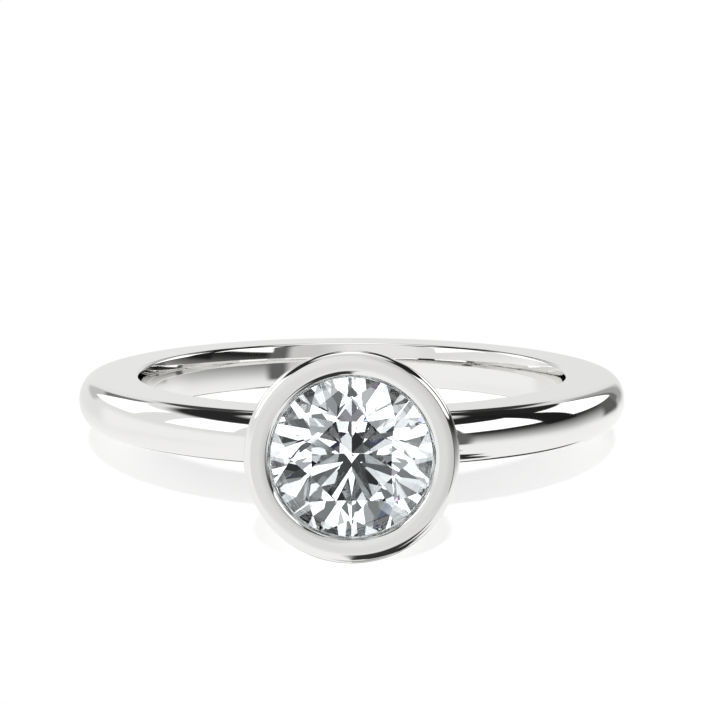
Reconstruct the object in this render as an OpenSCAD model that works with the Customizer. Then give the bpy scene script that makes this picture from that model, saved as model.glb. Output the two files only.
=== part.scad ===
// Bezel set ring: a round brilliant stone held by a polished metal rim on a plain band.
// The ring lies on its side, on the rim's lower edge and the back of the band.
// All sizes are millimetres and degrees. +Z is up, and the stone looks towards -Y.

/* [Band] */
// Inside diameter of the band, where the finger goes
finger_d = 17.3; // [14:0.1:22]
// Thickness of the band, from the finger to the outside
band_thickness = 2.5; // [1.8:0.1:3.2]
// Width of the band, measured along the finger
band_width = 1.95; // [1.6:0.05:3]
// Height of the rounded crown on top of the flat sides
crown_rise = 0.72; // [0.5:0.01:0.9]
// Radius of the two edges next to the finger
inner_edge_r = 0.15; // [0.05:0.05:0.3]

/* [Bezel] */
// Width of the rim around the stone, from its opening to its outside
rim_width = 0.95; // [0.75:0.05:1.5]
// Height of the rim's crest above the outside of the band
rim_rise = 3; // [2.6:0.1:4]
// How far the crest stands above the lip that holds the stone
rim_drop = 0.42; // [0.4:0.01:0.6]
// Radius of the rim's inner and outer edges
rim_edge_r = 0.3; // [0.15:0.05:0.35]
// How far the lip is pushed over the stone
rim_overlap = 0.18; // [0.1:0.01:0.3]
// Angle of the lip's underside
lip_angle = 42; // [41:1:50]
// Width of the ledge under the stone
ledge_w = 0.45; // [0.3:0.05:0.7]
// Outer diameter of the cup where it reaches the finger
cup_base_d = 4.4; // [3.6:0.1:5]
// Diameter of the cup's open back
open_back_d = 2.6; // [2:0.1:3]

/* [Stone] */
// Diameter of the stone at its girdle
stone_d = 6; // [5.2:0.1:7]
// Width of the table from corner to corner
table_d = 3; // [2.6:0.02:3.6]
// Angle of the crown's kite facets
crown_angle = 33.5; // [31:0.5:37]
// Angle of the pavilion's main facets
pavilion_angle = 41.2; // [39:0.1:42]
// Thickness of the girdle where it is thinnest
girdle_t = 0.04; // [0.02:0.02:0.2]
// Reach of the star facets, as a share of the way from the table's edge to the girdle
star_reach = 0.45; // [0.4:0.05:0.65]
// Reach of the lower halves, as a share of the way from the girdle to the culet
lower_half_reach = 0.81; // [0.7:0.01:0.85]
// Width of the small flats that make the girdle round
girdle_flat_w = 0.3; // [0.2:0.05:0.6]
// Turn of the stone about its own axis
stone_turn = 22.5; // [0:0.5:45]

/* [Fit] */
// Gap between the stone and the metal
stone_gap = 0.03; // [0.02:0.01:0.06]

/* [Hidden] */
$fn = 128;

// A round brilliant has eight stars, eight kites and eight pavilion mains
FACET_COUNT = 8;
facet_step = 360 / FACET_COUNT;
half_step = facet_step / 2;

// Band
finger_r = finger_d / 2;
band_r = finger_r + band_thickness;
half_w = band_width / 2;
shoulder_at = band_r - crown_rise;

// Rim and lip, as heights above the ring's centre along the bezel's axis
stone_r = stone_d / 2;
open_r = stone_r - rim_overlap;
rim_r = open_r + rim_width;
crest_h = band_r + rim_rise;
edge_h = crest_h - rim_edge_r;
lip_h = crest_h - rim_drop;
seat_r = stone_r + stone_gap;
lip_root_h = lip_h - (seat_r - open_r) * tan(lip_angle);

// Stone: how far its facets rise or fall between the girdle's main points
table_r = table_d / 2;
table_edge_r = table_r * cos(half_step);
star_r = table_edge_r + star_reach * (stone_r - table_edge_r);
lower_r = (1 - lower_half_reach) * stone_r;
chord_share = cos(half_step / 2);
flat_count = round(stone_r * half_step * PI / 180 / girdle_flat_w);
flat_step = half_step / flat_count;
star_h = (stone_r - star_r * cos(half_step)) * tan(crown_angle);
lower_drop = (stone_r - lower_r * cos(half_step)) * tan(pavilion_angle);
upper_slope = star_h / ((stone_r - star_r) * chord_share);
lower_slope = lower_drop / ((stone_r - lower_r) * chord_share);
scallop = stone_r * (1 - chord_share);
girdle_main_t = girdle_t + scallop * (upper_slope + lower_slope);

// Stone: heights above the ring's centre along the bezel's axis
girdle_top_h = lip_h - rim_overlap * tan(lip_angle) - stone_gap / cos(lip_angle);
girdle_low_h = girdle_top_h - girdle_main_t;
table_h = girdle_top_h + (stone_r - table_r) * tan(crown_angle);
culet_h = girdle_low_h - stone_r * tan(pavilion_angle);

// Ledge and cup
ledge_in_r = seat_r - ledge_w;
ledge_in_h = ledge_h(ledge_in_r);
cup_deep_h = finger_r - cup_base_d / 4;

// Pose: the line that touches the lip's outer corner and, from below, the back of the band
rest_run = shoulder_at + lip_h;
rest_spread = rest_run * rest_run - crown_rise * crown_rise;
rest_slope = (rim_r * rest_run
    - sqrt(pow(rim_r * rest_run, 2) - rest_spread * (rim_r * rim_r - half_w * half_w))) / rest_spread;
rest_tilt = atan(rest_slope);
centre_h = rim_r * cos(rest_tilt) - lip_h * sin(rest_tilt);
table_half_h = max([for (k = [0:FACET_COUNT - 1]) table_r * sin(stone_turn + k * facet_step)]);
table_reach = table_h * cos(rest_tilt) + table_half_h * sin(rest_tilt);
crest_reach = edge_h * cos(rest_tilt) + (rim_r - rim_edge_r) * sin(rest_tilt) + rim_edge_r;
back_reach = shoulder_at * cos(rest_tilt)
    + norm([crown_rise * cos(rest_tilt), half_w * sin(rest_tilt)]);
centre_y = (max(table_reach, crest_reach) - back_reach) / 2;

// Height of the ledge at radius r, one gap below the pavilion
function ledge_h(r) =
    girdle_low_h - (stone_r - r) * tan(pavilion_angle) - stone_gap / cos(pavilion_angle);

// Outer and inner radius of the cup at height h
function cup_outer_r(h) =
    cup_base_d / 2 + (h - finger_r) * (rim_r - cup_base_d / 2) / (lip_h - finger_r);
function cup_inner_r(h) =
    open_back_d / 2 + (h - finger_r) * (ledge_in_r - open_back_d / 2) / (ledge_in_h - finger_r);
function cup_middle_r(h) = (cup_outer_r(h) + cup_inner_r(h)) / 2;

// A point of the stone at radius r, azimuth a and height h
function on_stone(r, a, h) = [r * cos(a), r * sin(a), h];

// How far the girdle's edge lies outside the chord of its half facet at flat j
function outside_chord(j) =
    stone_r * (cos((j % flat_count) * flat_step - half_step / 2) - chord_share);

// Quarter of a disc, on the sides of its centre given by the signs of x and y
module quarter(r, x, y) {
    intersection() {
        circle(r);
        translate([min(x, 0) * r, min(y, 0) * r]) square(r);
    }
}

// Cross section of the band, standing on the finger: flat sides under a half-oval crown
module band_section() {
    translate([shoulder_at, 0])
        intersection() {
            scale([crown_rise, half_w]) circle(1);
            translate([0, -half_w]) square([crown_rise, band_width]);
        }
    translate([finger_r + inner_edge_r, -half_w])
        square([shoulder_at - finger_r - inner_edge_r, band_width]);
    translate([finger_r, inner_edge_r - half_w])
        square([inner_edge_r, band_width - 2 * inner_edge_r]);
    for (side = [-1, 1])
        translate([finger_r + inner_edge_r, side * (half_w - inner_edge_r)])
            quarter(inner_edge_r, -1, side);
}

// Cross section of the bezel, from its open back to the rim's crest
module cup_section() {
    translate([open_r + rim_edge_r, edge_h]) quarter(rim_edge_r, -1, 1);
    translate([rim_r - rim_edge_r, edge_h]) quarter(rim_edge_r, 1, 1);
    translate([open_r + rim_edge_r, edge_h]) square([rim_width - 2 * rim_edge_r, rim_edge_r]);
    polygon([
        [cup_outer_r(cup_deep_h), cup_deep_h],
        [rim_r, lip_h],
        [rim_r, edge_h],
        [open_r, edge_h],
        [open_r, lip_h],
        [seat_r, lip_root_h],
        [seat_r, ledge_h(seat_r)],
        [ledge_in_r, ledge_in_h],
        [cup_inner_r(cup_deep_h), cup_deep_h]
    ]);
}

// Turns what stands along +Z so that it looks out along -Y
module face_front() {
    rotate([90, 0, 0]) children();
}

// Lays the ring on the surface, with the middle of its box above the origin
module at_rest() {
    translate([0, centre_y, centre_h]) rotate([-rest_tilt, 0, 0]) children();
}

// The plain band, with its two ends buried in the cup's wall
module band() {
    end_angle = asin(cup_middle_r(finger_r) / finger_r);
    rotate([0, 0, end_angle - 90]) rotate_extrude(angle = 360 - 2 * end_angle) band_section();
}

// The bezel: rim, lip, ledge and open-backed cup, its foot cut flush with the finger hole
module bezel() {
    difference() {
        face_front() rotate_extrude() cup_section();
        cylinder(h = 2 * rim_r, r = finger_r, center = true);
    }
}

module band_with_bezel() {
    color("silver") at_rest() {
        band();
        bezel();
    }
}

// Round brilliant: table, stars, kites, upper halves, girdle, lower halves and mains
module stone() {
    ring_flats = 2 * FACET_COUNT * flat_count;
    tables = [for (k = [0:FACET_COUNT - 1]) on_stone(table_r, k * facet_step, table_h)];
    stars = [for (k = [0:FACET_COUNT - 1])
        on_stone(star_r, k * facet_step + half_step, girdle_top_h + star_h)];
    uppers = [for (j = [0:ring_flats - 1])
        on_stone(stone_r, j * flat_step, girdle_top_h - outside_chord(j) * upper_slope)];
    lowers = [for (j = [0:ring_flats - 1])
        on_stone(stone_r, j * flat_step, girdle_low_h + outside_chord(j) * lower_slope)];
    tips = [for (k = [0:FACET_COUNT - 1])
        on_stone(lower_r, k * facet_step + half_step, girdle_low_h - lower_drop)];
    culet = [on_stone(0, 0, culet_h)];

    // First index of each ring of points
    star_at = FACET_COUNT;
    upper_at = star_at + FACET_COUNT;
    lower_at = upper_at + ring_flats;
    tip_at = lower_at + ring_flats;
    culet_at = tip_at + FACET_COUNT;

    faces = concat(
        [[for (k = [FACET_COUNT - 1:-1:0]) k]],
        [for (k = [0:FACET_COUNT - 1]) [k, (k + 1) % FACET_COUNT, star_at + k]],
        [for (k = [0:FACET_COUNT - 1])
            [k, star_at + k, upper_at + 2 * flat_count * k,
             star_at + (k + FACET_COUNT - 1) % FACET_COUNT]],
        [for (q = [0:2 * FACET_COUNT - 1])
            [star_at + floor(q / 2),
             for (t = [flat_count:-1:0]) upper_at + (q * flat_count + t) % ring_flats]],
        [for (j = [0:ring_flats - 1])
            [upper_at + j, upper_at + (j + 1) % ring_flats,
             lower_at + (j + 1) % ring_flats, lower_at + j]],
        [for (q = [0:2 * FACET_COUNT - 1])
            [tip_at + floor(q / 2),
             for (t = [0:flat_count]) lower_at + (q * flat_count + t) % ring_flats]],
        [for (k = [0:FACET_COUNT - 1])
            [culet_at, tip_at + (k + FACET_COUNT - 1) % FACET_COUNT,
             lower_at + 2 * flat_count * k, tip_at + k]]
    );
    color("aliceblue") at_rest() face_front() rotate([0, 0, stone_turn])
        polyhedron(concat(tables, stars, uppers, lowers, tips, culet), faces);
}

band_with_bezel();
stone();
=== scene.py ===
"""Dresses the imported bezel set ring: polished metal, round brilliant, studio and camera."""

import functools
import logging
import math
from dataclasses import dataclass
from enum import Enum

import bmesh
import bpy
from mathutils import Matrix, Vector


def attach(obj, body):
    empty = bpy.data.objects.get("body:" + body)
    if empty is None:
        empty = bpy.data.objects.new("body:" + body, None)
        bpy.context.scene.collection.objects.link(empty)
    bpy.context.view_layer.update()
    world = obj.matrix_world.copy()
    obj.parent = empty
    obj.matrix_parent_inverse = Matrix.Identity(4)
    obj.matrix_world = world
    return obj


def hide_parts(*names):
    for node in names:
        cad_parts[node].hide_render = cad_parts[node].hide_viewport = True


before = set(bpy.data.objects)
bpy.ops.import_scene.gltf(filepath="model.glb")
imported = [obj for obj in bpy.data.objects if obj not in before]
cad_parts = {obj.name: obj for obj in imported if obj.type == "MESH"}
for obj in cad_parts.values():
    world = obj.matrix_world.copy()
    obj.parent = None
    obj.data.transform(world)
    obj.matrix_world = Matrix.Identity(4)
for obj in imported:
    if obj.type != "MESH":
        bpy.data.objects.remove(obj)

LOG = logging.getLogger("bezel_set_ring")
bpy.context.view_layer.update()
MM = 0.001
# In millimetres: how near a point is to count as being there, and to be merged.
NEAR = 1e-4
MERGE_DIST = 1e-5
# How much a large face's normal counts over its small neighbours' (50 is in proportion).
NORMAL_WEIGHT = 50
# What the polishing marks put out, with the noise's scale and its number of finer layers.
MARK_LAYERS = (("Marks", 1.0, 6.0), ("Clouds", 0.06, 2.0))
MARK_ROUGHNESS = 0.62

Corner = tuple[float, float]
Color = tuple[float, float, float]
Tree = bpy.types.NodeTree
Socket = bpy.types.NodeSocket
Value = Socket | float


class Axis(Enum):
    """The two axes that the ring's metal is turned about."""

    FINGER = "along the finger, through the middle of the band"
    STONE = "through the middle of the stone, square to the finger"


@dataclass(frozen=True)
class RestPose:
    """How the ring lies: on the rim's lower corner and the back of the band.

    The centre is the middle of the finger hole, in millimetres in the room.
    """

    tilt_deg: float = 6.59076
    centre_y: float = 1.74924
    centre_h: float = 2.1692

    def turn(self) -> Matrix:
        """Returns the turn from the ring's own frame to the room's."""
        return Matrix.Rotation(-math.radians(self.tilt_deg), 4, "X")

    def matrix(self) -> Matrix:
        """Returns the placing of a mesh in millimetres in the ring's own frame."""
        centre = Matrix.Translation((0.0, self.centre_y * MM, self.centre_h * MM))
        return centre @ self.turn() @ Matrix.Scale(MM, 4)

    def axis_turn(self, axis: Axis) -> Matrix:
        """Gives the turn that stands an axis of the ring up along +Z.

        Args:
            axis: the axis to stand up.

        Returns:
            The turn from the room's frame to the frame of that axis.
        """
        own = self.turn().inverted()
        if axis is Axis.STONE:
            return Matrix.Rotation(math.radians(-90.0), 4, "X") @ own
        return own


POSE = RestPose()


# Node helpers


def new_material(name: str) -> tuple[bpy.types.Material, Tree, bpy.types.Node]:
    """Makes an empty node material with one Principled shader.

    Args:
        name: the material's name.

    Returns:
        The material, its node tree and its Principled shader.
    """
    material = bpy.data.materials.new(name)
    material.use_nodes = True
    tree = material.node_tree
    tree.nodes.clear()
    shader = tree.nodes.new("ShaderNodeBsdfPrincipled")
    output = tree.nodes.new("ShaderNodeOutputMaterial")
    tree.links.new(shader.outputs["BSDF"], output.inputs["Surface"])
    return material, tree, shader


def ring_coordinate(tree: Tree, axis: Axis) -> Socket:
    """Gives the place on the ring, measured from its middle with an axis stood up along +Z.

    Args:
        tree: the material's node tree.
        axis: the axis that stands up.

    Returns:
        The vector socket, in metres.
    """
    coordinate = tree.nodes.new("ShaderNodeTexCoord")
    centred = tree.nodes.new("ShaderNodeMapping")
    centred.vector_type = "TEXTURE"
    centred.inputs["Location"].default_value = (0.0, POSE.centre_y * MM, POSE.centre_h * MM)
    centred.inputs["Rotation"].default_value = POSE.axis_turn(axis).inverted().to_euler("XYZ")
    tree.links.new(coordinate.outputs["Object"], centred.inputs["Vector"])
    return centred.outputs["Vector"]


def math_node(tree: Tree, operation: str, *values: Value) -> Socket:
    """Adds a Math node.

    Args:
        tree: the tree that takes the node.
        operation: the node's operation.
        values: its inputs, each a number or a socket to link from.

    Returns:
        The node's output socket.
    """
    node = tree.nodes.new("ShaderNodeMath")
    node.operation = operation
    for slot, value in zip(node.inputs, values):
        if isinstance(value, Socket):
            tree.links.new(value, slot)
        else:
            slot.default_value = value
    return node.outputs[0]


def mix_values(tree: Tree, share: Socket, first: Value, second: Value) -> Socket:
    """Adds a Mix node between two values.

    Args:
        tree: the tree that takes the node.
        share: the socket with the share of the second value.
        first: the value at share 0, a number or a socket.
        second: the value at share 1, a number or a socket.

    Returns:
        The node's output socket.
    """
    node = tree.nodes.new("ShaderNodeMix")
    node.data_type = "FLOAT"
    tree.links.new(share, node.inputs["Factor"])
    for label, value in (("A", first), ("B", second)):
        if isinstance(value, Socket):
            tree.links.new(value, node.inputs[label])
        else:
            node.inputs[label].default_value = value
    return node.outputs["Result"]


def flat_radius(tree: Tree, x: Socket, y: Socket) -> Socket:
    """Gives the distance to the Z axis.

    Args:
        tree: the tree that takes the nodes.
        x: the socket with the place along X.
        y: the socket with the place along Y.

    Returns:
        The socket with the distance.
    """
    squares = math_node(tree, "ADD", math_node(tree, "MULTIPLY", x, x),
                        math_node(tree, "MULTIPLY", y, y))
    return math_node(tree, "SQRT", squares)


def tint_color(tree: Tree, shader: bpy.types.Node, mask: Socket, color: Color,
               darkest: float) -> None:
    """Feeds a shader's colour with a finish's colour, a little darker where a mask is low.

    Args:
        tree: the material's node tree.
        shader: the Principled shader.
        mask: the socket with the mask.
        color: the finish's colour.
        darkest: the colour's share where the mask is 0.
    """
    tint = tree.nodes.new("ShaderNodeMix")
    tint.data_type = "RGBA"
    tint.inputs["A"].default_value = (*[c * darkest for c in color], 1.0)
    tint.inputs["B"].default_value = (*color, 1.0)
    tree.links.new(mask, tint.inputs["Factor"])
    tree.links.new(tint.outputs["Result"], shader.inputs["Base Color"])


def noise_node(tree: Tree, place: Socket, scale: float, detail: float,
               roughness: float = 0.5) -> Socket:
    """Adds a Noise Texture node.

    Args:
        tree: the tree that takes the node.
        place: the socket with the place to read it at.
        scale: the noise's scale.
        detail: how many finer layers it has.
        roughness: how strong the finer layers are.

    Returns:
        The socket with the noise, from 0 to 1.
    """
    noise = tree.nodes.new("ShaderNodeTexNoise")
    noise.inputs["Scale"].default_value = scale
    noise.inputs["Detail"].default_value = detail
    noise.inputs["Roughness"].default_value = roughness
    tree.links.new(place, noise.inputs["Vector"])
    return noise.outputs["Fac"]


def start_group(
        name: str, inputs: tuple[str, ...], outputs: tuple[str, ...]
) -> tuple[bpy.types.ShaderNodeTree, bpy.types.NodeOutputs, bpy.types.NodeInputs]:
    """Starts a shader node group, whose inputs are numbers but for one named Vector.

    Args:
        name: the group's name.
        inputs: the names of its inputs.
        outputs: the names of its outputs.

    Returns:
        The group, the sockets that bring its inputs and those that take its outputs.
    """
    group = bpy.data.node_groups.new(name, "ShaderNodeTree")
    for label in inputs:
        kind = "NodeSocketVector" if label == "Vector" else "NodeSocketFloat"
        group.interface.new_socket(label, in_out="INPUT", socket_type=kind)
    for label in outputs:
        group.interface.new_socket(label, in_out="OUTPUT", socket_type="NodeSocketFloat")
    take = group.nodes.new("NodeGroupInput")
    give = group.nodes.new("NodeGroupOutput")
    return group, take.outputs, give.inputs


@functools.cache
def polish_marks_group() -> bpy.types.ShaderNodeTree:
    """Builds the fine marks that a polishing wheel leaves along its path.

    Returns:
        A group with the inputs Vector, Along, Across and the outputs Marks and Clouds.
    """
    group, take, give = start_group("polish_marks", ("Vector", "Along", "Across"),
                                    ("Marks", "Clouds"))
    split = group.nodes.new("ShaderNodeSeparateXYZ")
    group.links.new(take["Vector"], split.inputs[0])
    x, y, z = split.outputs
    angle = math_node(group, "ARCTAN2", y, x)
    path = group.nodes.new("ShaderNodeCombineXYZ")
    for slot, value, stretch in (("X", angle, "Along"), ("Y", flat_radius(group, x, y), "Across"),
                                 ("Z", z, "Across")):
        group.links.new(math_node(group, "MULTIPLY", value, take[stretch]), path.inputs[slot])
    for label, scale, detail in MARK_LAYERS:
        group.links.new(noise_node(group, path.outputs[0], scale, detail, MARK_ROUGHNESS),
                        give[label])
    return group


# Finishes


@dataclass(frozen=True)
class PolishedMetal:
    """White metal polished to a mirror along one axis of the ring."""

    name: str
    axis: Axis
    color: Color = (0.86, 0.855, 0.84)
    roughness: float = 0.035
    mark_range: tuple[float, float] = (0.3, 0.75)
    roughness_shares: tuple[float, float] = (0.6, 1.5)
    marks_across: float = 26000.0
    marks_along: float = 9.0
    marks_depth: float = 0.012
    marks_height: float = 0.01
    cloud_tone: float = 0.985

    def material(self) -> bpy.types.Material:
        """Builds the metal.

        Returns:
            The finished node material.
        """
        material, tree, shader = new_material(self.name)
        shader.inputs["Metallic"].default_value = 1.0
        marks = tree.nodes.new("ShaderNodeGroup")
        marks.node_tree = polish_marks_group()
        marks.inputs["Along"].default_value = self.marks_along
        marks.inputs["Across"].default_value = self.marks_across
        tree.links.new(ring_coordinate(tree, self.axis), marks.inputs["Vector"])

        tint_color(tree, shader, marks.outputs["Clouds"], self.color, self.cloud_tone)

        rough = tree.nodes.new("ShaderNodeMapRange")
        for edge, mark, share in zip(("Min", "Max"), self.mark_range, self.roughness_shares):
            rough.inputs[f"From {edge}"].default_value = mark
            rough.inputs[f"To {edge}"].default_value = self.roughness * share
        tree.links.new(marks.outputs["Marks"], rough.inputs["Value"])
        tree.links.new(rough.outputs["Result"], shader.inputs["Roughness"])

        bump = tree.nodes.new("ShaderNodeBump")
        bump.inputs["Strength"].default_value = self.marks_depth
        bump.inputs["Distance"].default_value = self.marks_height * MM
        tree.links.new(marks.outputs["Marks"], bump.inputs["Height"])
        tree.links.new(bump.outputs["Normal"], shader.inputs["Normal"])
        return material


@functools.cache
def girdle_mask_group() -> bpy.types.ShaderNodeTree:
    """Builds the mask of the stone's ground girdle, from the distance to its axis.

    Returns:
        A group with the inputs Vector, Radius and Soft and the output Mask.
    """
    group, take, give = start_group("girdle_mask", ("Vector", "Radius", "Soft"), ("Mask",))
    split = group.nodes.new("ShaderNodeSeparateXYZ")
    group.links.new(take["Vector"], split.inputs[0])
    x, y, _ = split.outputs
    step = group.nodes.new("ShaderNodeMapRange")
    step.interpolation_type = "SMOOTHSTEP"
    group.links.new(flat_radius(group, x, y), step.inputs["Value"])
    group.links.new(take["Radius"], step.inputs["From Min"])
    group.links.new(math_node(group, "ADD", take["Radius"], take["Soft"]), step.inputs["From Max"])
    group.links.new(step.outputs["Result"], give["Mask"])
    return group


@dataclass(frozen=True)
class CutDiamond:
    """Clear, colourless diamond with polished facets and a ground girdle."""

    name: str = "diamond"
    color: Color = (0.975, 0.99, 1.0)
    ior: float = 2.417
    girdle_r: float = 2.965
    girdle_soft: float = 0.015
    girdle_roughness: float = 0.12
    cloud_scale: float = 700.0
    cloud_tone: float = 0.99

    def material(self) -> bpy.types.Material:
        """Builds the diamond.

        Returns:
            The finished node material.
        """
        material, tree, shader = new_material(self.name)
        shader.inputs["Metallic"].default_value = 0.0
        shader.inputs["Transmission Weight"].default_value = 1.0
        shader.inputs["IOR"].default_value = self.ior
        place = ring_coordinate(tree, Axis.STONE)

        girdle = tree.nodes.new("ShaderNodeGroup")
        girdle.node_tree = girdle_mask_group()
        girdle.inputs["Radius"].default_value = self.girdle_r * MM
        girdle.inputs["Soft"].default_value = self.girdle_soft * MM
        tree.links.new(place, girdle.inputs["Vector"])
        tree.links.new(math_node(tree, "MULTIPLY", girdle.outputs["Mask"], self.girdle_roughness),
                       shader.inputs["Roughness"])

        clouds = noise_node(tree, place, self.cloud_scale, detail=2.0)
        tint_color(tree, shader, clouds, self.color, self.cloud_tone)
        return material


@dataclass(frozen=True)
class WhitePaper:
    """Smooth white paper that the ring lies on."""

    name: str = "white_paper"
    color: Color = (0.95, 0.95, 0.95)
    roughness: float = 0.9
    grain_scale: float = 900.0
    grain_tone: float = 0.995

    def material(self) -> bpy.types.Material:
        """Builds the paper.

        Returns:
            The finished node material.
        """
        material, tree, shader = new_material(self.name)
        shader.inputs["Roughness"].default_value = self.roughness
        shader.inputs["Specular IOR Level"].default_value = 0.0
        coordinate = tree.nodes.new("ShaderNodeTexCoord")
        grain = noise_node(tree, coordinate.outputs["Object"], self.grain_scale, detail=4.0)
        tint_color(tree, shader, grain, self.color, self.grain_tone)
        return material


# Mesh helpers


def wire_loop(bm: bmesh.types.BMesh, points: list[Corner]) -> None:
    """Joins a few corners into a closed outline in the XZ plane.

    Args:
        bm: the mesh that takes the outline.
        points: the corners as (x, z), in order.
    """
    corners = [bm.verts.new((x, 0.0, z)) for x, z in points]
    for first, second in zip(corners, corners[1:] + corners[:1]):
        bm.edges.new((first, second))


def round_corner(bm: bmesh.types.BMesh, at: Corner, radius: float, segments: int) -> None:
    """Rounds one corner of an outline.

    Args:
        bm: the mesh that holds the outline.
        at: where the corner is, as (x, z).
        radius: the radius of the round, in millimetres.
        segments: how many edges the round gets.
    """
    spot = Vector((at[0], 0.0, at[1]))
    corner = min(bm.verts, key=lambda v: (v.co - spot).length_squared)
    first, second = [edge.other_vert(corner).co - corner.co for edge in corner.link_edges]
    reach = radius / math.tan(first.angle(second) / 2.0)
    bmesh.ops.bevel(bm, geom=[corner], offset=reach, offset_type="OFFSET", segments=segments,
                    profile=0.5, affect="VERTICES", material=-1, clamp_overlap=False)


def finish_piece(bm: bmesh.types.BMesh, name: str, material: bpy.types.Material,
                 node: str) -> bpy.types.Object:
    """Turns a mesh in the ring's own frame into a finished piece in the room.

    Args:
        bm: the mesh, in millimetres in the ring's own frame.
        name: the piece's name.
        material: its finish.
        node: the CAD node that it stands for.

    Returns:
        The piece's object.
    """
    bmesh.ops.remove_doubles(bm, verts=bm.verts, dist=MERGE_DIST)
    bmesh.ops.recalc_face_normals(bm, faces=bm.faces)
    bmesh.ops.transform(bm, matrix=POSE.matrix(), verts=bm.verts)
    for face in bm.faces:
        face.smooth = True
    mesh = bpy.data.meshes.new(name)
    bm.to_mesh(mesh)
    bm.free()
    piece = bpy.data.objects.new(name, mesh)
    bpy.context.collection.objects.link(piece)
    mesh.materials.append(material)
    weigh = piece.modifiers.new("face_weighted_normals", "WEIGHTED_NORMAL")
    weigh.mode = "FACE_AREA"
    weigh.weight = NORMAL_WEIGHT
    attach(piece, "root")
    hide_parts(node)
    return piece


# The ring


@dataclass
class Band:
    """The plain band: flat sides under a half-oval crown, open where the bezel sits.

    Lengths are in millimetres, measured from the middle of the finger hole.
    """

    finish: PolishedMetal
    finger_r: float = 8.65
    thickness: float = 2.5
    width: float = 1.95
    crown_rise: float = 0.72
    inner_edge_r: float = 0.15
    inner_dome: float = 0.12
    end_angle_deg: float = 11.6722
    crown_segments: int = 96
    edge_segments: int = 8
    side_cuts: int = 6
    dome_cuts: int = 15
    steps: int = 288

    def section(self, bm: bmesh.types.BMesh) -> None:
        """Draws the cross section in the XZ plane, standing on the finger.

        Args:
            bm: the mesh that takes the section.
        """
        half_w = self.width / 2.0
        shoulder_at = self.finger_r + self.thickness - self.crown_rise
        bmesh.ops.create_circle(bm, segments=self.crown_segments, radius=1.0)
        bmesh.ops.scale(bm, vec=(self.crown_rise, half_w, 1.0), verts=bm.verts)
        bmesh.ops.bisect_plane(bm, geom=bm.verts[:] + bm.edges[:], dist=NEAR,
                               plane_co=(0, 0, 0), plane_no=(1, 0, 0), clear_inner=True)
        bmesh.ops.rotate(bm, cent=(0, 0, 0), matrix=Matrix.Rotation(math.radians(90), 3, "X"),
                         verts=bm.verts)
        bmesh.ops.translate(bm, vec=(shoulder_at, 0, 0), verts=bm.verts)
        tips = [v for v in bm.verts if len(v.link_edges) == 1]
        feet = bmesh.ops.extrude_vert_indiv(bm, verts=tips)["verts"]
        bmesh.ops.translate(bm, vec=(self.finger_r - shoulder_at, 0, 0), verts=feet)
        sides = [edge for foot in feet for edge in foot.link_edges]
        bottom = bmesh.ops.contextual_create(bm, geom=feet)["edges"]
        bmesh.ops.subdivide_edges(bm, edges=sides, cuts=self.side_cuts)
        bmesh.ops.subdivide_edges(bm, edges=bottom, cuts=self.dome_cuts)
        for vert in bm.verts:
            if vert.co.x < self.finger_r + NEAR:
                vert.co.x += self.inner_dome * (vert.co.z / half_w) ** 2
        for side in (-half_w, half_w):
            round_corner(bm, (self.finger_r + self.inner_dome, side), self.inner_edge_r,
                         self.edge_segments)

    def build(self) -> bpy.types.Object:
        """Spins the section round the finger and closes its two ends.

        Returns:
            The finished piece.
        """
        bm = bmesh.new()
        self.section(bm)
        start = math.radians(self.end_angle_deg - 90.0)
        bmesh.ops.rotate(bm, cent=(0, 0, 0), matrix=Matrix.Rotation(start, 3, "Z"),
                         verts=bm.verts)
        sweep = math.radians(360.0 - 2.0 * self.end_angle_deg)
        bmesh.ops.spin(bm, geom=bm.verts[:] + bm.edges[:], cent=(0, 0, 0), axis=(0, 0, 1),
                       dvec=(0, 0, 0), angle=sweep, steps=self.steps, use_merge=False,
                       use_duplicate=False)
        bmesh.ops.holes_fill(bm, edges=[e for e in bm.edges if e.is_boundary], sides=0)
        return finish_piece(bm, "band", self.finish.material(), "band_with_bezel")


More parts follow.
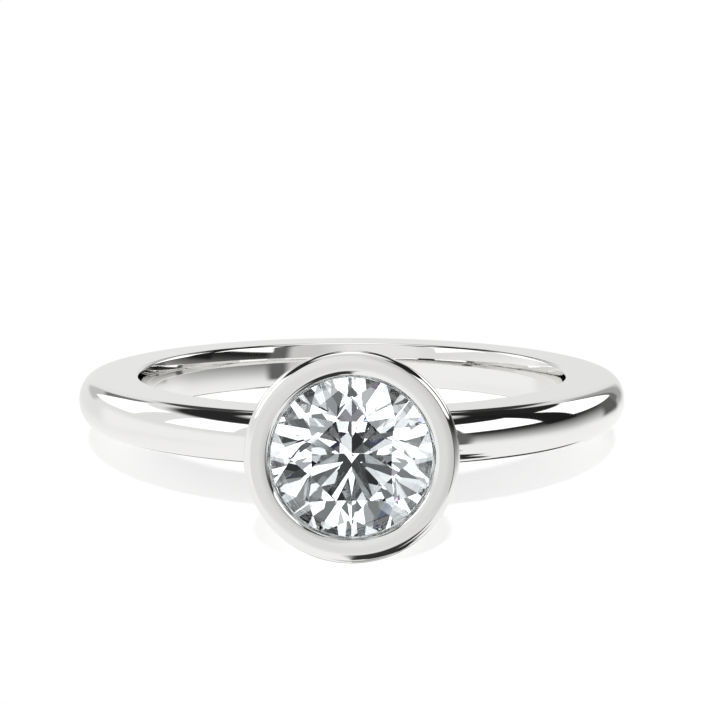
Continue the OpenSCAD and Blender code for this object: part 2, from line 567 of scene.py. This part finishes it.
@dataclass
class Bezel:
    """The bezel: a tapered cup with an open back, a ledge, a lip and a raised rim.

    Lengths are in millimetres. Radii are from the stone's axis, and heights (names with _h)
    from the middle of the finger hole.
    """

    finish: PolishedMetal
    finger_r: float = 8.65
    foot_r: float = 2.2
    back_r: float = 1.3
    rim_r: float = 3.77
    open_r: float = 2.82
    lip_h: float = 13.73
    lip_root_h: float = 13.5409
    crest_h: float = 14.15
    seat_r: float = 3.03
    seat_h: float = 13.3755
    ledge_r: float = 2.58
    ledge_h: float = 12.9817
    crest_fall: float = 0.05
    rim_edge_r: float = 0.3
    rim_segments: int = 12
    crest_edge_r: float = 1.2
    crest_segments: int = 6
    waist_edge_r: float = 0.2
    waist_segments: int = 4
    lip_edge_r: float = 0.04
    lip_segments: int = 3
    foot_cuts: int = 3
    wall_length: float = 1.0
    wall_cuts: int = 12
    fit_rounds: int = 8
    steps: int = 224

    def section(self, bm: bmesh.types.BMesh) -> None:
        """Draws the cross section in the XZ plane, its foot level with the finger's top.

        Args:
            bm: the mesh that takes the section.
        """
        middle = (self.rim_r + self.open_r) / 2.0
        side_h = self.crest_h - self.crest_fall
        outer, crest, inner = (self.rim_r, side_h), (middle, self.crest_h), (self.open_r, side_h)
        waist, lip = (self.rim_r, self.lip_h), (self.open_r, self.lip_h)
        wire_loop(bm, [
            (self.foot_r, self.finger_r), waist, outer, crest, inner, lip,
            (self.seat_r, self.lip_root_h), (self.seat_r, self.seat_h),
            (self.ledge_r, self.ledge_h), (self.back_r, self.finger_r)])
        bm.verts.ensure_lookup_table()
        foot = bm.verts[0]
        base = next(e for e in foot.link_edges if abs(e.other_vert(foot).co.z - foot.co.z) < NEAR)
        bmesh.ops.subdivide_edges(bm, edges=[base], cuts=self.foot_cuts)
        for at, radius, segments in (
                (waist, self.waist_edge_r, self.waist_segments),
                (outer, self.rim_edge_r, self.rim_segments),
                (inner, self.rim_edge_r, self.rim_segments),
                (crest, self.crest_edge_r, self.crest_segments),
                (lip, self.lip_edge_r, self.lip_segments)):
            round_corner(bm, at, radius, segments)
        walls = [edge for edge in bm.edges if edge.calc_length() > self.wall_length]
        bmesh.ops.subdivide_edges(bm, edges=walls, cuts=self.wall_cuts)

    def fit_to_finger(self, bm: bmesh.types.BMesh) -> None:
        """Runs the foot down onto the finger hole, which it is cut flush with.

        Each point slides along the cup's lean, between its inner and its outer wall's, until
        a few rounds have brought it onto the hole's wall.

        Args:
            bm: the cup, spun about +Z with its foot's ring at the finger's top.
        """
        foot = [v for v in bm.verts if v.co.z < self.finger_r + NEAR]
        outer_lean = (self.rim_r - self.foot_r) / (self.lip_h - self.finger_r)
        inner_lean = (self.ledge_r - self.back_r) / (self.ledge_h - self.finger_r)
        for vert in foot:
            radius = math.hypot(vert.co.x, vert.co.y)
            share = (radius - self.back_r) / (self.foot_r - self.back_r)
            lean = inner_lean + share * (outer_lean - inner_lean)
            across, along = vert.co.x / radius, vert.co.y / radius
            height = self.finger_r
            for _ in range(self.fit_rounds):
                reach = radius + lean * (height - self.finger_r)
                height = math.sqrt(self.finger_r ** 2 - (reach * across) ** 2)
            vert.co = (reach * across, reach * along, height)

    def build(self) -> bpy.types.Object:
        """Spins the section, fits its foot and turns it to look out along -Y.

        Returns:
            The finished piece.
        """
        bm = bmesh.new()
        self.section(bm)
        bmesh.ops.spin(bm, geom=bm.verts[:] + bm.edges[:], cent=(0, 0, 0), axis=(0, 0, 1),
                       dvec=(0, 0, 0), angle=math.tau, steps=self.steps, use_merge=True,
                       use_duplicate=False)
        self.fit_to_finger(bm)
        bmesh.ops.rotate(bm, cent=(0, 0, 0), matrix=Matrix.Rotation(math.radians(90), 3, "X"),
                         verts=bm.verts)
        return finish_piece(bm, "bezel", self.finish.material(),
                            "band_with_bezel")


@dataclass
class Stone:
    """The round brilliant, whose facets come from the CAD."""

    finish: CutDiamond
    node: str = "stone"

    def dress(self) -> bpy.types.Object:
        """Gives the CAD stone its finish.

        Returns:
            The stone's object.
        """
        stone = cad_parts[self.node]
        material = self.finish.material()
        for slot in stone.material_slots:
            slot.material = material
        return stone


# The studio


@dataclass(frozen=True)
class LightPatch:
    """One panel of the studio as the ring sees it, in degrees round it and above the floor.

    Longitude 0 is the camera's side, +90 the ring's right and +-180 behind it. Soft is how
    wide its edges fade, low_soft the same for the low edge alone, and lean how much its
    latitudes rise for each degree eastwards.
    """

    name: str
    west: float
    east: float
    low: float
    high: float
    tone: float
    soft: float = 2.0
    lean: float = 0.0
    low_soft: float | None = None


@functools.cache
def light_patch_group() -> bpy.types.ShaderNodeTree:
    """Builds the mask of one panel: 1 inside its four edges, 0 outside.

    Returns:
        A group with the inputs Longitude, Latitude, West, East, Low, High, Lean, Soft
        and Low Soft and the output Mask.
    """
    group, take, give = start_group(
        "light_patch", ("Longitude", "Latitude", "West", "East", "Low", "High", "Lean", "Soft",
                        "Low Soft"), ("Mask",))
    middle = math_node(group, "MULTIPLY", math_node(group, "ADD", take["West"], take["East"]), 0.5)
    across = math_node(group, "SUBTRACT", take["Longitude"], middle)
    latitude = math_node(group, "SUBTRACT", take["Latitude"],
                         math_node(group, "MULTIPLY", across, take["Lean"]))
    edges = (
        (math_node(group, "SUBTRACT", take["Longitude"], take["West"]), take["Soft"]),
        (math_node(group, "SUBTRACT", take["East"], take["Longitude"]), take["Soft"]),
        (math_node(group, "SUBTRACT", latitude, take["Low"]), take["Low Soft"]),
        (math_node(group, "SUBTRACT", take["High"], latitude), take["Soft"]))
    mask = None
    for edge, soft in edges:
        step = group.nodes.new("ShaderNodeMapRange")
        step.interpolation_type = "SMOOTHSTEP"
        group.links.new(edge, step.inputs["Value"])
        for label, share in (("From Min", -0.5), ("From Max", 0.5)):
            group.links.new(math_node(group, "MULTIPLY", soft, share), step.inputs[label])
        side = step.outputs["Result"]
        mask = side if mask is None else math_node(group, "MULTIPLY", mask, side)
    group.links.new(mask, give["Mask"])
    return group


@dataclass
class Studio:
    """White floor, soft light, and the panels that the metal and the stone see.

    The floor's size is in metres. Later panels lie over earlier ones.
    """

    floor_size: float = 4.0
    floor_cuts: int = 8
    room_light: float = 0.2
    backdrop: float = 1.1
    room_tone: float = 0.83
    gem_tones: tuple[float, float] = (0.16, 2.25)
    gem_tone_scale: float = 8.0
    gem_tone_edges: tuple[float, float] = (0.28, 0.58)
    cool_tint: tuple[float, float] = (0.54, 0.06)
    fire_share: float = 0.05
    fire_hues: float = 0.22
    fire_strength: float = 0.45
    fill_strength: float = 1.92
    fill_height_deg: float = 90.0
    key_strength: float = 1.08
    key_height_deg: float = 46.0
    sun_angle_deg: float = 6.0
    panels: tuple[LightPatch, ...] = (
        LightPatch("floor_sheen", -181.0, 181.0, -91.0, -14.0, 1.0, soft=12.0),
        LightPatch("front_top", -40.0, 40.0, 7.0, 60.0, 0.9, soft=12.0),
        LightPatch("left_wall", -181.0, -60.0, -20.0, 42.0, 0.86, soft=40.0),
        LightPatch("left_low_wall", -125.0, -26.0, -22.0, 4.0, 1.0, soft=12.0),
        LightPatch("right_front_wall", 10.0, 110.0, -16.0, 60.0, 0.66, soft=24.0),
        LightPatch("right_shade", 44.0, 146.0, -3.8, 62.0, 0.02, soft=8.0, lean=-0.02,
                   low_soft=30.0),
        LightPatch("right_far_shade", 127.0, 145.0, -12.0, 7.0, 0.12, soft=6.0),
        LightPatch("right_corner", 37.0, 49.0, -20.0, 44.0, 0.14, soft=6.0),
        LightPatch("left_ceiling", -181.0, -104.0, 60.0, 91.0, 1.25, soft=6.0),
        LightPatch("right_ceiling", 104.0, 181.0, 60.0, 91.0, 1.25, soft=6.0),
        LightPatch("front_ceiling", -106.0, 106.0, 62.0, 91.0, 0.76, soft=8.0),
        LightPatch("left_frame", -168.0, -46.0, 43.0, 64.0, 0.025, soft=7.0),
        LightPatch("right_frame", 46.0, 168.0, 42.0, 64.0, 0.02, soft=7.0),
        LightPatch("right_column", 87.0, 107.0, 5.0, 60.0, 0.015, soft=4.0),
        LightPatch("left_back_frame", -177.0, -152.0, 25.0, 42.0, 0.06, soft=5.0, lean=1.25),
        LightPatch("right_back_frame", 152.0, 177.0, 25.0, 42.0, 0.04, soft=5.0, lean=-1.25),
        LightPatch("left_back_low", -158.0, -138.0, 2.0, 16.0, 0.58, soft=6.0),
        LightPatch("left_back_edge", -156.0, -143.0, 16.0, 32.0, 0.2, soft=4.0),
        LightPatch("right_back_edge", 145.0, 158.0, -10.0, 28.0, 0.4, soft=8.0),
        LightPatch("right_back_line", 141.0, 148.0, -4.0, 30.0, 0.18, soft=3.0),
        LightPatch("left_window_back", -144.0, -106.0, 11.8, 37.0, 1.5, lean=0.15),
        LightPatch("left_window_front", -85.0, -50.0, 14.0, 43.0, 1.5),
        LightPatch("right_window_front", 47.0, 87.0, 14.0, 43.0, 1.5),
        LightPatch("right_window_back", 107.0, 144.0, 9.0, 36.0, 1.5, lean=-0.15),
        LightPatch("floor_under", -30.0, 181.0, -91.0, -70.0, 0.42, soft=10.0),
        LightPatch("floor_front", -0.5, 19.0, -57.0, -17.0, 0.04, soft=3.0),
        LightPatch("floor_front_side", 14.0, 50.0, -60.0, -38.0, 0.04, soft=3.0),
        LightPatch("floor_edge_front", 12.0, 80.0, -68.0, -52.5, 0.03, soft=3.0, lean=-0.1),
        LightPatch("floor_edge_side", 75.0, 124.0, -69.0, -62.5, 0.03, soft=2.5),
        LightPatch("floor_edge_back", 146.0, 182.0, -56.0, -38.0, 0.04, soft=4.0),
        LightPatch("floor_edge_left", -182.0, -160.0, -56.0, -36.0, 0.3, soft=4.0),
    )
    gem_panels: tuple[LightPatch, ...] = (
        LightPatch("below", -181.0, 181.0, -91.0, -24.0, 0.88, soft=10.0),
        LightPatch("camera_side", -12.5, 12.5, -7.0, 17.5, 0.075, soft=3.0),
        LightPatch("camera_top", -13.0, 14.0, 44.5, 55.5, 0.06, soft=3.0),
        LightPatch("camera_foot_left", -22.0, -1.0, -28.0, -10.0, 0.03),
        LightPatch("camera_foot", 1.0, 13.0, -28.0, -14.0, 1.3),
        LightPatch("camera_foot_right", 8.0, 22.0, -22.0, -12.0, 0.12, soft=3.0),
        LightPatch("left_bar", -33.0, -20.0, 14.0, 31.0, 0.22, soft=4.0),
        LightPatch("right_bar", 30.0, 44.0, -10.0, 3.0, 0.22, soft=4.0),
        LightPatch("right_foot", 27.0, 40.0, -42.0, -28.0, 0.1, soft=3.0),
        LightPatch("left_foot", -72.0, -60.0, -34.0, -22.0, 0.1, soft=3.0),
        LightPatch("left_top", -60.0, -46.0, 38.0, 47.0, 0.3, soft=3.0),
        LightPatch("right_top", 46.0, 60.0, 38.0, 47.0, 0.3, soft=3.0),
    )

    def build_floor(self) -> bpy.types.Object:
        """Lays the floor.

        Returns:
            The floor's object, which isn't part of the ring.
        """
        bm = bmesh.new()
        bmesh.ops.create_grid(bm, x_segments=self.floor_cuts, y_segments=self.floor_cuts,
                              size=self.floor_size / 2.0)
        mesh = bpy.data.meshes.new("floor")
        bm.to_mesh(mesh)
        bm.free()
        floor = bpy.data.objects.new("floor", mesh)
        bpy.context.collection.objects.link(floor)
        mesh.materials.append(WhitePaper().material())
        # Seen in the metal or through the stone, it would hide the panels below the horizon.
        floor.visible_glossy = False
        floor.visible_transmission = False
        return floor

    def build_sun(self, name: str, strength: float, height_deg: float,
                  shadow: bool) -> bpy.types.Object:
        """Hangs a far light on the camera's side, which only the floor sees.

        Args:
            name: the light's name.
            strength: its strength.
            height_deg: its height above the floor.
            shadow: whether the ring casts a shadow in it.

        Returns:
            The light's object.
        """
        data = bpy.data.lights.new(name, "SUN")
        data.energy = strength
        data.angle = math.radians(self.sun_angle_deg)
        data.use_shadow = shadow
        sun = bpy.data.objects.new(name, data)
        sun.rotation_euler = (math.radians(90.0 - height_deg), 0.0, 0.0)
        sun.visible_glossy = False
        sun.visible_transmission = False
        bpy.context.collection.objects.link(sun)
        return sun

    def build_lights(self) -> None:
        """Lights the floor: an even fill, and a key that gives the faint cast shadow."""
        self.build_sun("fill_light", self.fill_strength, self.fill_height_deg, shadow=False)
        self.build_sun("key_light", self.key_strength, self.key_height_deg, shadow=True)

    def patchwork(self, tree: Tree) -> tuple[Socket, Socket]:
        """Breaks the room up into small light and dark parts, which the facets pick out.

        Args:
            tree: the world's node tree.

        Returns:
            The sockets with the tone seen in a direction and with its tint, which is a
            cool white but for a few parts that stand for the stone's fire.
        """
        cells = tree.nodes.new("ShaderNodeTexVoronoi")
        cells.inputs["Scale"].default_value = self.gem_tone_scale
        way = tree.nodes.new("ShaderNodeTexCoord").outputs["Generated"]
        tree.links.new(way, cells.inputs["Vector"])
        split = tree.nodes.new("ShaderNodeSeparateColor")
        tree.links.new(cells.outputs["Color"], split.inputs["Color"])
        spread = tree.nodes.new("ShaderNodeMapRange")
        tree.links.new(split.outputs["Red"], spread.inputs["Value"])
        for edge, share, tone in zip(("Min", "Max"), self.gem_tone_edges, self.gem_tones):
            spread.inputs[f"From {edge}"].default_value = share
            spread.inputs[f"To {edge}"].default_value = tone
        fire = math_node(tree, "LESS_THAN", split.outputs["Green"], self.fire_share)
        tint = tree.nodes.new("ShaderNodeCombineColor")
        tint.mode = "HSV"
        hue, saturation = self.cool_tint
        swing = math_node(tree, "MULTIPLY", fire, split.outputs["Blue"])
        tree.links.new(math_node(tree, "MULTIPLY_ADD", swing, self.fire_hues, hue),
                       tint.inputs["Red"])
        tree.links.new(math_node(tree, "MULTIPLY_ADD", fire, self.fire_strength, saturation),
                       tint.inputs["Green"])
        tint.inputs["Blue"].default_value = 1.0
        return spread.outputs["Result"], tint.outputs["Color"]

    def panel_tone(self, tree: Tree, tone: Value, panels: tuple[LightPatch, ...]) -> Socket:
        """Lays panels over the room's tone, one after another.

        Args:
            tree: the world's node tree.
            tone: the room's tone where there is no panel, a number or a socket.
            panels: the panels, the last on top.

        Returns:
            The socket that holds the tone seen in a direction.
        """
        way = tree.nodes.new("ShaderNodeTexCoord").outputs["Generated"]
        split = tree.nodes.new("ShaderNodeSeparateXYZ")
        tree.links.new(way, split.inputs[0])
        x, y, z = split.outputs
        longitude = math_node(tree, "DEGREES", math_node(
            tree, "ARCTAN2", x, math_node(tree, "MULTIPLY", y, -1.0)))
        latitude = math_node(tree, "DEGREES", math_node(tree, "ARCSINE", z))
        for panel in panels:
            patch = tree.nodes.new("ShaderNodeGroup")
            patch.node_tree = light_patch_group()
            patch.label = panel.name
            tree.links.new(longitude, patch.inputs["Longitude"])
            tree.links.new(latitude, patch.inputs["Latitude"])
            for label in ("west", "east", "low", "high", "lean", "soft"):
                patch.inputs[label.title()].default_value = getattr(panel, label)
            patch.inputs["Low Soft"].default_value = panel.low_soft or panel.soft
            tone = mix_values(tree, patch.outputs["Mask"], tone, panel.tone)
        return tone

    def build_world(self) -> bpy.types.World:
        """Sets the room: even light on the floor, the panels in whatever mirrors them.

        Returns:
            The world.
        """
        scene = bpy.context.scene
        world = bpy.data.worlds.new("studio_light")
        scene.world = world
        world.use_nodes = True
        tree = world.node_tree
        background = tree.nodes["Background"]
        rays = tree.nodes.new("ShaderNodeLightPath").outputs
        metal_sees = self.panel_tone(tree, self.room_tone, self.panels)
        parts, tint = self.patchwork(tree)
        stone_sees = tree.nodes.new("ShaderNodeVectorMath")
        stone_sees.operation = "SCALE"
        tree.links.new(tint, stone_sees.inputs["Vector"])
        tree.links.new(self.panel_tone(tree, parts, self.gem_panels), stone_sees.inputs["Scale"])
        # The camera sees the backdrop and the floor an even light. What the metal mirrors is
        # seen by glossy rays, and what the stone does by singular or transmitted ones.
        light = mix_values(tree, rays["Is Camera Ray"], self.room_light, self.backdrop)
        light = mix_values(tree, rays["Is Glossy Ray"], light, metal_sees)
        seen = tree.nodes.new("ShaderNodeMix")
        seen.data_type = "RGBA"
        by_stone = math_node(tree, "MAXIMUM", rays["Is Singular Ray"], rays["Is Transmission Ray"])
        tree.links.new(by_stone, seen.inputs["Factor"])
        tree.links.new(light, seen.inputs["A"])
        tree.links.new(stone_sees.outputs["Vector"], seen.inputs["B"])
        tree.links.new(seen.outputs["Result"], background.inputs["Color"])
        # The panels are only seen by such rays, so the world needn't be sampled as a lamp.
        world.cycles.sampling_method = "NONE"
        scene.view_settings.view_transform = "Standard"
        scene.view_settings.look = "None"
        return world


@dataclass
class Viewpoint:
    """The camera, placed in the ring's own frame as the photograph shows the ring.

    Its place, lens and sensor are in millimetres, clip_start in metres.
    """

    place: tuple[float, float, float] = (0.033, -87.44, 13.98)
    pitch_deg: float = 7.96
    roll_rad: float = 0.0014
    lens: float = 109.85
    sensor: float = 36.0
    shift: tuple[float, float] = (-0.0011, 0.001)
    clip_start: float = 0.005

    def build(self) -> bpy.types.Object:
        """Makes the camera and hands it to the scene.

        Returns:
            The camera's object.
        """
        data = bpy.data.cameras.new("camera")
        data.lens = self.lens
        data.sensor_width = self.sensor
        data.shift_x, data.shift_y = self.shift
        data.clip_start = self.clip_start
        camera = bpy.data.objects.new("camera", data)
        bpy.context.collection.objects.link(camera)
        look = POSE.turn() @ Matrix.Rotation(math.radians(90.0 - self.pitch_deg), 4, "X")
        place = POSE.matrix() @ Vector(self.place)
        camera.matrix_world = (Matrix.Translation(place) @ look
                               @ Matrix.Rotation(self.roll_rad, 4, "Z"))
        bpy.context.scene.camera = camera
        return camera


def report(piece: bpy.types.Object) -> None:
    """Logs a piece's name and size in faces."""
    LOG.info("%s: %d faces", piece.name, len(piece.data.polygons))


def main() -> None:
    """Builds the ring, the studio and the camera in order."""
    logging.basicConfig(level=logging.INFO, format="%(name)s %(message)s")
    report(Band(PolishedMetal("band_metal", Axis.FINGER)).build())
    report(Bezel(PolishedMetal("bezel_metal", Axis.STONE)).build())
    report(Stone(CutDiamond()).dress())
    studio = Studio()
    report(studio.build_floor())
    studio.build_lights()
    studio.build_world()
    Viewpoint().build()
    bpy.context.view_layer.update()


if __name__ == "__main__":
    main()
